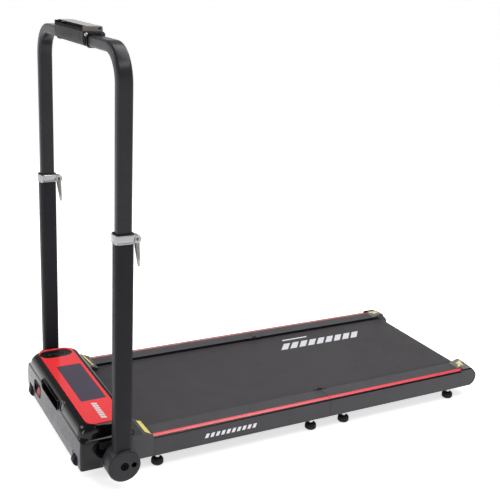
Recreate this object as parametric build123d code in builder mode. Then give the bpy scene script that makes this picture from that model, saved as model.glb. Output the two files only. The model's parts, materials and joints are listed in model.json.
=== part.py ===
from build123d import *
import os

# A flat, motorised walking treadmill whose deck folds in half and whose U-shaped handle folds back over it.
# X runs across the deck (right is +), Y from the motor hood at the front (-) to the tail (+), Z up.
# The pieces are drawn from the middle of the hood-to-tail length and moved by centring as they are written,
# which puts the origin on the floor under the middle of the overall length and width. Millimetres.

os.makedirs("parts", exist_ok=True)

# ---------------------------------------------------------------- driving dimensions
tail = 678.5
hood_front = -678.5
centring = 5.0             # half of what the transport wheels stand out in front of the hood
rail_x = 280.0             # outer face of the side rails
rail_bottom = 40.5
rail_top = 96.0
strip_top = 101.0
strip_inner = 216.0        # inner edge of the foot strips
belt_half = 209.0
belt_top = 94.0
belt_thickness = 1.7
seam_y = 101.5             # where the deck folds
fold_z = 102.0             # height of the fold axis
seam_gap = 0.5             # half the gap between the two deck halves
front_rail_y = -475.5      # where the front covers meet the rails

hood_rear = -540.5
hood_x = 268.0
hood_bottom = 33.0
hood_ledge = 116.0         # top of the lower hood shell
panel_z = 160.0            # top of the red panel
panel_y = -600.5
wall = 3.0

roller_r = 22.0
roller_z = 70.0
front_roller_y = -536.0
rear_roller_y = 637.0

tube_x = 330.0             # centre of the uprights
tube_y = -587.5
pivot_z = 76.0
disc_r = 45.0
disc_inner = 305.0
disc_outer = 355.0
lower_size = (36.0, 48.0, 10.0)    # width, depth, corner radius
lower_wall = 1.8
upper_size = (28.0, 40.0, 8.0)
upper_wall = 1.6
lower_bottom = 90.0
lower_top = 705.0
upper_bottom = 395.0
bar_z = 1141.0
bend_r = 80.0
collar_low, collar_high = 682.0, 706.0
lever_y = tube_y + 34.0
lever_z = 690.0

console_half = 121.0
console_top_z = 1176.0

beam_in, beam_out = 238.0, 264.0
beam_low, beam_high = 46.0, 90.0
board_low, board_high = 76.0, 92.0
foot_x = 257.0
front_feet_y = (-455.5, 48.5)
rear_feet_y = (168.5, 585.5)

motor_y, motor_z = -622.0, 82.0
rotor_pulley_r, roller_pulley_r = 12.0, 30.0
wheel_x, wheel_y, wheel_z, wheel_r = 219.0, -671.5, 44.5, 17.0
switch_x, switch_z = -148.0, 82.0
grip_x, grip_z, grip_w, grip_h = -20.0, 126.0, 172.0, 34.0
key_x, key_z = 86.0, 136.0

made = []


def keep(builder, name):
    """Label a finished piece, centre it and write it."""
    piece = builder.part.moved(Location((0, centring, 0)))
    piece.label = name
    export_step(piece, f"parts/{name}.step")
    made.append(name)


def box_between(x, y, z, mode=Mode.ADD):
    """A box between two corners, given as (low, high) along each axis."""
    with Locations(((x[0] + x[1]) / 2, (y[0] + y[1]) / 2, (z[0] + z[1]) / 2)):
        Box(x[1] - x[0], y[1] - y[0], z[1] - z[0], mode=mode)


def rod_x(x0, x1, y, z, r, mode=Mode.ADD):
    """A round rod along X."""
    with Locations(Location(((x0 + x1) / 2, y, z), (0, 90, 0))):
        Cylinder(r, abs(x1 - x0), mode=mode)


def rod_z(x, y, z0, z1, r, mode=Mode.ADD, top_r=None):
    """A round rod, or a cone when top_r is given, along Z."""
    with Locations((x, y, (z0 + z1) / 2)):
        if top_r is None:
            Cylinder(r, z1 - z0, mode=mode)
        else:
            Cone(r, top_r, z1 - z0, mode=mode)


def profile_x(points, x0, x1, mode=Mode.ADD):
    """Extrude a closed outline of (y, z) points from x0 to x1."""
    with BuildSketch(Plane.YZ.offset(min(x0, x1))) as outline:
        with BuildLine():
            Polyline(*points, close=True)
        make_face()
    extrude(outline.sketch, amount=abs(x1 - x0), mode=mode)


def profile_y(points, y0, y1, mode=Mode.ADD):
    """Extrude a closed outline of (x, z) points from y0 to y1."""
    with BuildSketch(Plane.XZ.offset(-y1)) as outline:
        with BuildLine():
            Polyline(*points, close=True)
        make_face()
    extrude(outline.sketch, amount=y1 - y0, mode=mode)


def side_name(side):
    return "left" if side < 0 else "right"


# ---------------------------------------------------------------- deck halves
def deck_frame(y0, y1, cross_ys, foot_ys):
    """Two side beams joined by cross tubes that pass between the belt's two runs."""
    with BuildPart() as frame:
        for s in (-1, 1):
            x = sorted((s * beam_in, s * beam_out))
            box_between(x, (y0, y1), (beam_low, beam_high))
            wall_x = sorted((s * (beam_in + 2), s * (beam_out - 2)))
            box_between(wall_x, (y0, y1), (beam_low + 2, beam_high - 2), Mode.SUBTRACT)
        for y in cross_ys:
            box_between((-beam_in, beam_in), (y - 17, y + 17), (52, 73))
            box_between((-beam_in, beam_in), (y - 15, y + 15), (54, 71), Mode.SUBTRACT)
        for s in (-1, 1):
            for y in foot_ys:
                rod_z(s * foot_x, y, beam_low, beam_low + 2, 4.0, Mode.SUBTRACT)
    return frame


def rails(y0, y1, foot_ys):
    """Extruded side rails, an open C with its mouth inwards."""
    with BuildPart() as pair:
        for s in (-1, 1):
            outline = [(rail_x, rail_bottom), (rail_x, rail_top - 2), (rail_x - 2, rail_top),
                       (244, rail_top), (244, rail_top - 2.5), (rail_x - wall, rail_top - 2.5),
                       (rail_x - wall, rail_bottom + 2.5), (250, rail_bottom + 2.5), (250, rail_bottom)]
            profile_y([(s * x, z) for x, z in outline], y0, y1)
            for y in foot_ys:
                rod_z(s * foot_x, y, rail_bottom, rail_bottom + 2.5, 4.3, Mode.SUBTRACT)
    return pair


def strips(y0, y1):
    """Foot strips, slightly crowned, with a lip that closes the gap down to the deck board."""
    with BuildPart() as pair:
        for s in (-1, 1):
            outline = [(strip_inner, board_high + 0.3), (strip_inner, strip_top - 1),
                       (strip_inner + 1, strip_top - 0.2), (240, strip_top), (261.8, strip_top - 0.3),
                       (261.8, rail_top), (strip_inner + 3, rail_top), (strip_inner + 3, board_high + 0.3)]
            profile_y([(s * x, z) for x, z in outline], y0, y1)
    return pair


def trims(y0, y1):
    """Coloured inlays that slope from the strips down to the rails' outer edge."""
    with BuildPart() as pair:
        for s in (-1, 1):
            outline = [(262, rail_top), (262, strip_top - 0.4), (264, strip_top - 0.8),
                       (276.5, rail_top + 1.2), (276.5, rail_top)]
            profile_y([(s * x, z) for x, z in outline], y0, y1)
    return pair


def foot_pads(foot_ys):
    """Round rubber feet."""
    with BuildPart() as pads:
        for s in (-1, 1):
            for y in foot_ys:
                rod_z(s * foot_x, y, 0, 3, 16, top_r=17.5)
                rod_z(s * foot_x, y, 3, 17, 17.5)
                rod_z(s * foot_x, y, 17, 24, 17.5, top_r=11)
                rod_z(s * foot_x, y, 12, 24, 4.0, Mode.SUBTRACT)
    return pads


def foot_studs(foot_ys):
    """Threaded studs with a collar nut between the pad and the rail."""
    with BuildPart() as studs:
        for s in (-1, 1):
            for y in foot_ys:
                rod_z(s * foot_x, y, 12, beam_low + 2, 4.0)
                rod_z(s * foot_x, y, 24, 31, 8.0)
    return studs


def belt_run(y_end, y_seam):
    """Half of the walking belt: an upper run, the wrap round its roller and a lower run."""
    outer = roller_r + 0.3 + belt_thickness
    toward = 1 if y_end > y_seam else -1
    with BuildPart() as belt:
        with BuildSketch(Plane.YZ.offset(-belt_half)):
            with BuildLine():
                Line((y_seam, roller_z + outer), (y_end, roller_z + outer))
                ThreePointArc((y_end, roller_z + outer), (y_end + toward * outer, roller_z),
                              (y_end, roller_z - outer))
                Line((y_end, roller_z - outer), (y_seam, roller_z - outer))
                inner = outer - belt_thickness
                Line((y_seam, roller_z - outer), (y_seam, roller_z - inner))
                Line((y_seam, roller_z - inner), (y_end, roller_z - inner))
                ThreePointArc((y_end, roller_z - inner), (y_end + toward * inner, roller_z),
                              (y_end, roller_z + inner))
                Line((y_end, roller_z + inner), (y_seam, roller_z + inner))
                Line((y_seam, roller_z + inner), (y_seam, roller_z + outer))
            make_face()
        extrude(amount=2 * belt_half)
    return belt


def deck_board(y0, y1):
    """Laminated board that the belt's upper run slides on."""
    with BuildPart() as board:
        box_between((-232, 232), (y0, y1), (board_low, board_high))
        chamfer(board.edges().filter_by(Axis.X).group_by(Axis.Z)[-1], 4)
    return board


def cushions(cross_ys):
    """Rubber strips between the deck board and the cross tubes."""
    with BuildPart() as pads:
        for y in cross_ys:
            for x in (-180, 0, 180):
                box_between((x - 30, x + 30), (y - 10, y + 10), (73, board_low))
    return pads


front_cross = (-430.0, -180.0, 60.0)
rear_cross = (150.0, 340.0, 560.0)

with BuildPart() as front_frame:
    add(deck_frame(-660.0, seam_y - seam_gap, front_cross, front_feet_y).part)
    # the plate that carries the motor and the controller, narrower between the transport wheels
    box_between((-200, 200), (-660, -634), (46, 49))
    box_between((-beam_in, beam_in), (-634, -590), (46, 49))
keep(front_frame, "front_frame")
keep(rails(front_rail_y, seam_y - seam_gap, front_feet_y), "front_rails")
keep(strips(front_rail_y, seam_y - seam_gap), "front_foot_strips")
keep(trims(front_rail_y, seam_y - seam_gap), "front_trims")
keep(deck_board(-500, seam_y - seam_gap), "front_deck_board")
keep(cushions(front_cross), "front_deck_cushions")
keep(belt_run(front_roller_y, seam_y - 0.3), "walking_belt_front")
keep(foot_pads(front_feet_y), "front_foot_pads")
keep(foot_studs(front_feet_y), "front_foot_studs")

keep(deck_frame(seam_y + seam_gap, 652.0, rear_cross, rear_feet_y), "rear_frame")
keep(rails(seam_y + seam_gap, 613.0, rear_feet_y), "rear_rails")
keep(strips(seam_y + seam_gap, 613.0), "rear_foot_strips")
keep(trims(seam_y + seam_gap, 625.0), "rear_trims")
keep(deck_board(seam_y + seam_gap, 600), "rear_deck_board")
keep(belt_run(rear_roller_y, seam_y + 0.3), "walking_belt_rear")
keep(foot_pads(rear_feet_y), "rear_foot_pads")
keep(foot_studs(rear_feet_y), "rear_foot_studs")

# ---------------------------------------------------------------- fold hinges
hinge_in, hinge_out = 210.5, 215.5
hinge_r, hinge_pin_r = 6.0, 2.5


def hinge_leaves(toward, parts):
    """Leaves of the two fold hinges: knuckles on the fold axis and an arm down to the frame."""
    with BuildPart() as leaves:
        for s in (-1, 1):
            for low, high in parts:
                x = sorted((s * low, s * high))
                rod_x(x[0], x[1], seam_y, fold_z, hinge_r)
                y = sorted((seam_y + toward * 1.0, seam_y + toward * 22.0))
                box_between(x, y, (board_high + 0.4, fold_z - 1.2))
            x = sorted((s * hinge_in, s * hinge_out))
            y = sorted((seam_y + toward * 8.0, seam_y + toward * 22.0))
            box_between(x, y, (board_high + 0.4, fold_z - 1.2))
            rod_x(-232, 232, seam_y, fold_z, hinge_pin_r + 0.05, Mode.SUBTRACT)
    return leaves


keep(hinge_leaves(-1, [(210.5, 212.0), (213.9, 215.5)]), "fold_hinge_front_leaves")
keep(hinge_leaves(1, [(212.1, 213.8)]), "fold_hinge_rear_leaves")
with BuildPart() as hinge_pins:
    for s in (-1, 1):
        x = sorted((s * 210.2, s * 215.8))
        rod_x(x[0], x[1], seam_y, fold_z, hinge_pin_r)
keep(hinge_pins, "fold_hinge_pins")

# ---------------------------------------------------------------- tail: end caps and roller
with BuildPart() as end_caps:
    for s in (-1, 1):
        with BuildSketch(Plane.YZ.offset(min(s * strip_inner, s * rail_x))):
            with BuildLine():
                Line((613.5, rail_bottom), (tail - 30, rail_bottom))
                ThreePointArc((tail - 30, rail_bottom), (tail, rail_bottom + 30),
                              (tail - 15, rail_bottom + 56))
                Polyline((tail - 15, rail_bottom + 56), (656, 108.5), (650, 111.5), (644, 110.6),
                         (613.5, 101.2), (613.5, rail_bottom))
            make_face()
        extrude(amount=rail_x - strip_inner)
    for s in (-1, 1):
        # the top falls away towards the outside
        profile_y([(s * 224, 112), (s * (rail_x + 1), 100.3), (s * (rail_x + 1), 120), (s * 224, 120)],
                  613, tail + 1, Mode.SUBTRACT)
        # room for the rail's end and the trim inside the cap
        x = sorted((s * (strip_inner + 4), s * (rail_x - 4)))
        box_between(x, (613.5, 662), (rail_bottom - 1, 92), Mode.SUBTRACT)
        x = sorted((s * 262.0, s * 276.5))
        box_between(x, (613.5, 625), (92, 110), Mode.SUBTRACT)
        x = sorted((s * (strip_inner - 1), s * (strip_inner + 5)))
        rod_x(x[0], x[1], rear_roller_y, roller_z, 7.6, Mode.SUBTRACT)
keep(end_caps, "rear_end_caps")

with BuildPart() as rear_roller:
    rod_x(-211, 211, rear_roller_y, roller_z, roller_r)
    rod_x(-211, 211, rear_roller_y, roller_z, 7.55, Mode.SUBTRACT)
keep(rear_roller, "rear_roller")

with BuildPart() as rear_axle:
    rod_x(-237, 237, rear_roller_y, roller_z, 7.5)
    for s in (-1, 1):
        # slide blocks on the ends of the axle, and the bolts that tension the belt
        x = sorted((s * 221.0, s * 238.0))
        box_between(x, (rear_roller_y - 14, rear_roller_y + 14), (roller_z - 11, roller_z + 11))
        with Locations(Location((s * 229.5, rear_roller_y + 18, roller_z), (90, 0, 0))):
            Cylinder(4, 12)
keep(rear_axle, "rear_roller_axle")

# ---------------------------------------------------------------- drive under the hood
with BuildPart() as front_roller:
    rod_x(-211, 211, front_roller_y, roller_z, roller_r)
    rod_x(213, 226, front_roller_y, roller_z, roller_pulley_r)
    rod_x(-237, 237, front_roller_y, roller_z, 8.5)
    for i in range(4):
        # poly-V grooves of the pulley
        with BuildSketch(Plane.YZ.offset(215.0 + 2.6 * i)):
            with Locations((front_roller_y, roller_z)):
                Circle(roller_pulley_r + 1)
                Circle(roller_pulley_r - 1.2, mode=Mode.SUBTRACT)
        extrude(amount=1.2, mode=Mode.SUBTRACT)
keep(front_roller, "front_roller")

with BuildPart() as roller_mounts:
    for s in (-1, 1):
        x = sorted((s * 228.0, s * 238.0))
        box_between(x, (front_roller_y - 20, front_roller_y + 20), (roller_z - 18, roller_z + 18))
        rod_x(x[0], x[1], front_roller_y, roller_z, 8.56, Mode.SUBTRACT)
keep(roller_mounts, "front_roller_mounts")

with BuildPart() as motor_housing:
    rod_x(-70, 80, motor_y, motor_z, 31)
    rod_x(-66, 76, motor_y, motor_z, 25, Mode.SUBTRACT)
    rod_x(-71, 81, motor_y, motor_z, 5.06, Mode.SUBTRACT)
    box_between((-50, 60), (motor_y - 16, motor_y + 16), (49, motor_z - 27))
keep(motor_housing, "motor_housing")

with BuildPart() as motor_rotor:
    rod_x(-70, 228, motor_y, motor_z, 5.0)
    rod_x(-55, 65, motor_y, motor_z, 21)
    rod_x(214, 225, motor_y, motor_z, rotor_pulley_r)
    rod_x(196, 208, motor_y, motor_z, 22)
keep(motor_rotor, "motor_rotor")

with BuildPart() as drive_belt:
    # a closed loop round both pulleys, as the hull of two circles with the inside cut away
    gap = 0.3
    with BuildSketch(Plane.YZ.offset(214.5)):
        with Locations((front_roller_y, roller_z)):
            Circle(roller_pulley_r + gap + 2.2)
        with Locations((motor_y, motor_z)):
            Circle(rotor_pulley_r + gap + 2.2)
        make_hull()
    extrude(amount=10)
    with BuildSketch(Plane.YZ.offset(214.5)):
        with Locations((front_roller_y, roller_z)):
            Circle(roller_pulley_r + gap)
        with Locations((motor_y, motor_z)):
            Circle(rotor_pulley_r + gap)
        make_hull()
    extrude(amount=10, mode=Mode.SUBTRACT)
keep(drive_belt, "drive_belt")

with BuildPart() as controller:
    box_between((-225, -110), (-636, -592), (49.2, 96))
    for i in range(9):
        # cooling fins along the top
        box_between((-220 + 12 * i, -215 + 12 * i), (-634, -594), (88, 96), Mode.SUBTRACT)
keep(controller, "motor_controller")

# ---------------------------------------------------------------- hood
def obround_cut(x, z, w, h, y0, y1):
    """Cut a pill-shaped opening through the front wall."""
    with BuildSketch(Plane.XZ.offset(-y1)) as pill:
        with Locations((x, z)):
            SlotOverall(w, h)
    extrude(pill.sketch, amount=y1 - y0, mode=Mode.SUBTRACT)


with BuildPart() as hood_base:
    with BuildSketch(Plane.XY.offset(hood_bottom)):
        with Locations((0, (hood_front + hood_rear) / 2)):
            RectangleRounded(2 * hood_x, hood_rear - hood_front, 7)
    extrude(amount=hood_ledge - hood_bottom)
    box_between((-hood_x + wall, hood_x - wall), (hood_front + wall, hood_rear + 1),
                (hood_bottom - 1, hood_ledge + 1), Mode.SUBTRACT)
    for s in (-1, 1):
        x = sorted((s * (hood_x - 5), s * (hood_x + 1)))
        rod_x(x[0], x[1], tube_y, pivot_z, 26.4, Mode.SUBTRACT)
    obround_cut(grip_x, grip_z, grip_w, grip_h, hood_front - 1, hood_front + 6)
    box_between((switch_x - 36, switch_x + 28), (hood_front - 1, hood_front + 6),
                (switch_z - 18, switch_z + 18), Mode.SUBTRACT)
    for s in (-1, 1):
        # notches for the transport wheels
        box_between(sorted((s * 201.0, s * 241.0)), (hood_front - 1, hood_front + 6), (hood_bottom - 1, 66),
                    Mode.SUBTRACT)
keep(hood_base, "hood_base")


def hood_loft(grow):
    """The upper cover's solid form, with its faces moved out by grow."""
    sections = []
    for z, x, y0, y1, r in ((hood_ledge, 265, hood_front + 1, -529, 42), (143, 262.5, -671, -536, 40),
                            (panel_z - 3, 252, -655, -546, 34)):
        with BuildSketch(Plane.XY.offset(z)) as section:
            with Locations((0, (y0 + y1) / 2)):
                RectangleRounded(2 * (x + grow), y1 - y0 + 2 * grow, r + grow)
        sections.append(section.sketch)
    loft(sections)


with BuildPart(mode=Mode.PRIVATE) as hood_inside:
    hood_loft(-wall)

with BuildPart() as hood_cover:
    hood_loft(0)
    add(hood_inside.part.moved(Location((0, 0, -wall))), mode=Mode.SUBTRACT)
    # the rear apron comes down to just above the walking belt
    profile_x([(-537.5, 120), (-532, 120), (-521, 98), (-524.5, 98), (-535.5, 116)], -180, 180)
    with BuildSketch(Plane.XY.offset(150)) as pad_hole:
        with Locations((-215, panel_y - 1)):
            SlotOverall(93.4, 56.4, rotation=90)
    extrude(pad_hole.sketch, amount=10, mode=Mode.SUBTRACT)
    box_between((-123, 123), (-630.5, -555.5), (150, 160), Mode.SUBTRACT)
    obround_cut(grip_x, grip_z, grip_w, grip_h, hood_front - 1, hood_front + 30)
    with Locations(Location((key_x, -668, key_z), (75, 0, 0))):
        Cylinder(17, 30, mode=Mode.SUBTRACT)
keep(hood_cover, "hood_cover")

with BuildPart() as side_covers:
    slope = [(hood_rear + 1, 113.7), (-505.5, 113.7), (front_rail_y, 101.2)]
    for s in (-1, 1):
        top = slope + [(front_rail_y, 98.2), (-506.2, 110.7), (hood_rear + 1, 110.7)]
        profile_x(top, s * 182, s * rail_x)
        side = slope + [(front_rail_y, rail_bottom), (hood_rear + 1, rail_bottom)]
        profile_x(side, s * (rail_x - wall), s * rail_x)
        profile_x(slope + [(front_rail_y, 96.8), (hood_rear + 1, 96.8)], s * 182, s * 185)
keep(side_covers, "front_side_covers")

with BuildPart() as top_panel:
    with BuildSketch(Plane.XY.offset(panel_z - 3)):
        with Locations((0, panel_y)):
            RectangleRounded(502, 106, 34)
        with Locations((-215, panel_y - 1)):
            SlotOverall(93, 56, rotation=90, mode=Mode.SUBTRACT)
        with Locations((0, -593)):
            RectangleRounded(241, 73, 3, mode=Mode.SUBTRACT)
    extrude(amount=3)
    fillet(top_panel.faces().sort_by(Axis.Z)[-1].outer_wire().edges(), 1.2)
keep(top_panel, "top_panel")

with BuildPart() as display_window:
    with BuildSketch(Plane.XY.offset(panel_z - 2.4)):
        with Locations((0, -593)):
            RectangleRounded(240.4, 72.4, 2.8)
    extrude(amount=2)
keep(display_window, "display_window")

with BuildPart() as display_board:
    box_between((-110, 110), (-624, -562), (panel_z - 10, panel_z - 8.4))
    # the segment display and its driver parts
    box_between((-90, 90), (-606, -578), (panel_z - 8.4, panel_z - 3.2))
keep(display_board, "display_board")

with BuildPart() as control_pad:
    with BuildSketch(Plane.XY.offset(panel_z - 7)):
        with Locations((-215, panel_y - 1)):
            SlotOverall(92.4, 55.4, rotation=90)
    extrude(amount=5)
    with BuildSketch(Plane.XY.offset(panel_z - 4)):
        with Locations((-215, panel_y - 1)):
            SlotOverall(84, 47, rotation=90)
    extrude(amount=3, mode=Mode.SUBTRACT)
    with Locations((-215, -622, panel_z - 3), (-215, -602, panel_z - 3), (-215, -582, panel_z - 3)):
        Cylinder(7, 2)
keep(control_pad, "control_pad")

with BuildPart() as grip_insert:
    with BuildSketch(Plane.XZ.offset(-(hood_front + 3))):
        with Locations((grip_x, grip_z)):
            SlotOverall(grip_w - 0.6, grip_h - 0.6)
    extrude(amount=-26)
    with BuildSketch(Plane.XZ.offset(-(hood_front + 2))):
        with Locations((grip_x, grip_z)):
            SlotOverall(grip_w - 6, grip_h - 6)
    extrude(amount=-24, mode=Mode.SUBTRACT)
keep(grip_insert, "grip_insert")

with BuildPart() as key_socket:
    with Locations(Location((key_x, -668, key_z), (75, 0, 0))):
        Cylinder(16.7, 14)
        Cylinder(12.5, 14.4, mode=Mode.SUBTRACT)
        with Locations((0, 0, -4)):
            Cylinder(12.5, 4)
keep(key_socket, "key_socket")

rocker_x = switch_x + 11
with BuildPart() as switch_bezel:
    with BuildSketch(Plane.XZ.offset(-(hood_front + 24))):
        with Locations((switch_x - 4, switch_z)):
            RectangleRounded(63.6, 35.6, 4)
    extrude(amount=24.0)
    flange = [(-35, -11), (-26, -21), (26, -21), (35, -11), (35, 11), (26, 21), (-26, 21), (-35, 11)]
    profile_y([(switch_x - 4 + x, switch_z + z) for x, z in flange], hood_front - 2.2, hood_front)
    box_between((rocker_x - 14.7, rocker_x + 14.7), (hood_front - 3, hood_front + 18),
                (switch_z - 15.6, switch_z + 15.6), Mode.SUBTRACT)
    box_between((switch_x - 34, switch_x - 8), (hood_front - 3, hood_front + 20),
                (switch_z - 11, switch_z + 11), Mode.SUBTRACT)
keep(switch_bezel, "switch_bezel")

with BuildPart() as power_rocker:
    with BuildSketch(Plane.YZ.offset(rocker_x - 14.4)):
        with BuildLine():
            Polyline((hood_front + 9, switch_z - 11), (hood_front - 1.5, switch_z - 12.8),
                     (hood_front + 1.2, switch_z), (hood_front + 4.5, switch_z + 14),
                     (hood_front + 12, switch_z + 10), close=True)
        make_face()
    extrude(amount=28.8)
    rod_x(rocker_x - 14.4, rocker_x + 14.4, hood_front + 7, switch_z, 2.0)
keep(power_rocker, "power_rocker")

with BuildPart() as mains_inlet:
    box_between((switch_x - 34, switch_x - 8), (hood_front + 14, hood_front + 20),
                (switch_z - 11, switch_z + 11))
    with Locations((switch_x - 28, hood_front + 9, switch_z), (switch_x - 21, hood_front + 9, switch_z + 4),
                   (switch_x - 14, hood_front + 9, switch_z)):
        Box(2, 10, 5)
keep(mains_inlet, "mains_inlet")

# ---------------------------------------------------------------- transport wheels
with BuildPart() as wheel_brackets:
    for s in (-1, 1):
        for x0 in (204.0, 231.0):
            x = sorted((s * x0, s * (x0 + 3)))
            box_between(x, (wheel_y - 6, wheel_y + 20), (wheel_z - 7, 65))
            rod_x(x[0], x[1], wheel_y, wheel_z, 4.0, Mode.SUBTRACT)
        box_between(sorted((s * 204.0, s * beam_in)), (wheel_y - 6, wheel_y + 26), (62, 65))
keep(wheel_brackets, "wheel_brackets")

with BuildPart() as wheel_axles:
    for s in (-1, 1):
        x = sorted((s * 203.0, s * 235.0))
        rod_x(x[0], x[1], wheel_y, wheel_z, 4.0)
keep(wheel_axles, "wheel_axles")

for s in (-1, 1):
    with BuildPart() as wheel:
        rod_x(s * wheel_x - 10, s * wheel_x + 10, wheel_y, wheel_z, wheel_r)
        chamfer(wheel.edges().filter_by(GeomType.CIRCLE), 2.5)
        rod_x(s * wheel_x - 11, s * wheel_x + 11, wheel_y, wheel_z, 7)
        rod_x(s * wheel_x - 12, s * wheel_x + 12, wheel_y, wheel_z, 4.06, Mode.SUBTRACT)
    keep(wheel, f"transport_wheel_{side_name(s)}")

# ---------------------------------------------------------------- handle pivots
with BuildPart() as pivot_brackets:
    for s in (-1, 1):
        x = sorted((s * beam_out, s * (disc_inner - 0.4)))
        rod_x(x[0], x[1], tube_y, pivot_z, 26)
        x = sorted((s * (hood_x + 0.3), s * (hood_x + 5)))
        box_between(x, (tube_y - 40, tube_y + 40), (pivot_z - 34, pivot_z + 34))
        x = sorted((s * (beam_out - 1), s * (disc_inner + 1)))
        rod_x(x[0], x[1], tube_y, pivot_z, 5.0, Mode.SUBTRACT)
keep(pivot_brackets, "pivot_brackets")

with BuildPart() as pivot_bolts:
    for s in (-1, 1):
        head = disc_outer - 9
        x = sorted((s * (beam_out + 0.5), s * head))
        rod_x(x[0], x[1], tube_y, pivot_z, 5.0)
        x = sorted((s * head, s * (head + 7)))
        rod_x(x[0], x[1], tube_y, pivot_z, 8.5)
        with BuildSketch(Plane.YZ.offset(min(s * (head + 3), s * (head + 7)))):
            with Locations((tube_y, pivot_z)):
                RegularPolygon(4.2, 6)
        extrude(amount=4, mode=Mode.SUBTRACT)
keep(pivot_bolts, "pivot_bolts")

for s in (-1, 1):
    with BuildPart() as disc:
        x = sorted((s * disc_inner, s * disc_outer))
        rod_x(x[0], x[1], tube_y, pivot_z, disc_r)
        rim = disc.edges().filter_by(GeomType.CIRCLE)
        fillet(rim.sort_by(Axis.X)[-1 if s > 0 else 0], 4)
        # pocket for the upright, bore and recess for the bolt, and the locking hole
        box_between((s * tube_x - 18, s * tube_x + 18), (tube_y - 24, tube_y + 24), (lower_bottom, 130),
                    Mode.SUBTRACT)
        rod_x(x[0], x[1], tube_y, pivot_z, 5.06, Mode.SUBTRACT)
        rod_x(s * (disc_outer - 9.2), s * (disc_outer + 1), tube_y, pivot_z, 10.5, Mode.SUBTRACT)
        rod_x(s * (disc_outer - 20), s * (disc_outer + 1), tube_y + 26, pivot_z, 6, Mode.SUBTRACT)
    keep(disc, f"pivot_disc_{side_name(s)}")

for s in (-1, 1):
    w, d, r = lower_size
    with BuildPart() as lower_tube:
        with BuildSketch(Plane.XY.offset(lower_bottom)):
            with Locations((s * tube_x, tube_y)):
                RectangleRounded(w, d, r)
                RectangleRounded(w - 2 * lower_wall, d - 2 * lower_wall, r - lower_wall, mode=Mode.SUBTRACT)
        extrude(amount=lower_top - lower_bottom)
    keep(lower_tube, f"lower_tube_{side_name(s)}")

bush_w, bush_d = upper_size[0] + 0.2, upper_size[1] + 0.2
with BuildPart() as tube_bushes:
    for s in (-1, 1):
        w, d, r = lower_size
        with BuildSketch(Plane.XY.offset(lower_top - 45)):
            with Locations((s * tube_x, tube_y)):
                RectangleRounded(w - 2 * lower_wall, d - 2 * lower_wall, r - lower_wall)
                RectangleRounded(bush_w, bush_d, upper_size[2] + 0.1, mode=Mode.SUBTRACT)
        extrude(amount=45)
        # a neck inside the collar, then the rim on top of it
        for z, grow, height in ((lower_top, 0, collar_high - lower_top), (collar_high, 4, 3)):
            with BuildSketch(Plane.XY.offset(z)):
                with Locations((s * tube_x, tube_y)):
                    RectangleRounded(w + grow, d + grow, r + grow / 2)
                    RectangleRounded(bush_w, bush_d, upper_size[2] + 0.1, mode=Mode.SUBTRACT)
            extrude(amount=height)
keep(tube_bushes, "tube_bushes")

with BuildPart() as clamp_collars:
    for s in (-1, 1):
        w, d, r = lower_size
        with BuildSketch(Plane.XY.offset(collar_low)):
            with Locations((s * tube_x, tube_y)):
                RectangleRounded(w + 6, d + 6, r + 3)
                RectangleRounded(w, d, r, mode=Mode.SUBTRACT)
        extrude(amount=collar_high - collar_low)
        for x0 in (-9.0, 5.6):
            x = (s * tube_x + x0, s * tube_x + x0 + 3.4)
            box_between(x, (tube_y + 26, lever_y), (lever_z - 7, lever_z + 7))
            rod_x(x[0], x[1], lever_y, lever_z, 7)
            rod_x(x[0], x[1], lever_y, lever_z, 2.5, Mode.SUBTRACT)
keep(clamp_collars, "clamp_collars")

with BuildPart() as lever_pins:
    for s in (-1, 1):
        rod_x(s * tube_x - 10, s * tube_x + 10, lever_y, lever_z, 2.5)
keep(lever_pins, "lever_pins")

for s in (-1, 1):
    with BuildPart() as lever:
        rod_x(s * tube_x - 5.3, s * tube_x + 5.3, lever_y, lever_z, 6.2)
        blade = [(lever_y - 4, lever_z), (lever_y + 6.2, lever_z), (lever_y + 8, lever_z - 40),
                 (lever_y + 8, lever_z - 72), (lever_y + 5.5, lever_z - 73), (lever_y - 4, lever_z - 34)]
        profile_x(blade, s * tube_x - 5.3, s * tube_x + 5.3)
        rod_x(s * tube_x - 6, s * tube_x + 6, lever_y, lever_z, 2.55, Mode.SUBTRACT)
    keep(lever, f"cam_lever_{side_name(s)}")


# ---------------------------------------------------------------- handle
def handle_sweep(w, d, r):
    """Sweep the flat tube section up one side, across the top and down the other."""
    with BuildPart() as swept:
        with BuildLine(Plane.XZ.offset(-tube_y)) as path:
            FilletPolyline((-tube_x, upper_bottom), (-tube_x, bar_z), (tube_x, bar_z), (tube_x, upper_bottom),
                           radius=bend_r)
        with BuildSketch(Plane.XY.offset(upper_bottom)) as section:
            with Locations((-tube_x, tube_y)):
                RectangleRounded(w, d, r)
        sweep(section.sketch, path=path.line)
    return swept.part


outer_w, outer_d, outer_r = upper_size
handle_outer = handle_sweep(outer_w, outer_d, outer_r)
handle_bore = handle_sweep(outer_w - 2 * upper_wall, outer_d - 2 * upper_wall, outer_r - upper_wall)
with BuildPart() as handle_tube:
    add(handle_outer)
    add(handle_bore, mode=Mode.SUBTRACT)
keep(handle_tube, "handle_tube")

front = tube_y - 29.5
console_side = [(front, 1146), (front + 12, 1124), (tube_y + 18, 1124), (tube_y + 28, 1138),
                (tube_y + 28, 1160), (tube_y + 22, 1163), (front, 1163)]
with BuildPart() as console_body:
    profile_x(console_side, -console_half, console_half)
    box_between((-console_half - 1, console_half + 1), (tube_y - 20, tube_y + 20), (bar_z - 14, bar_z + 14),
                Mode.SUBTRACT)
keep(console_body, "console_body")

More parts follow.
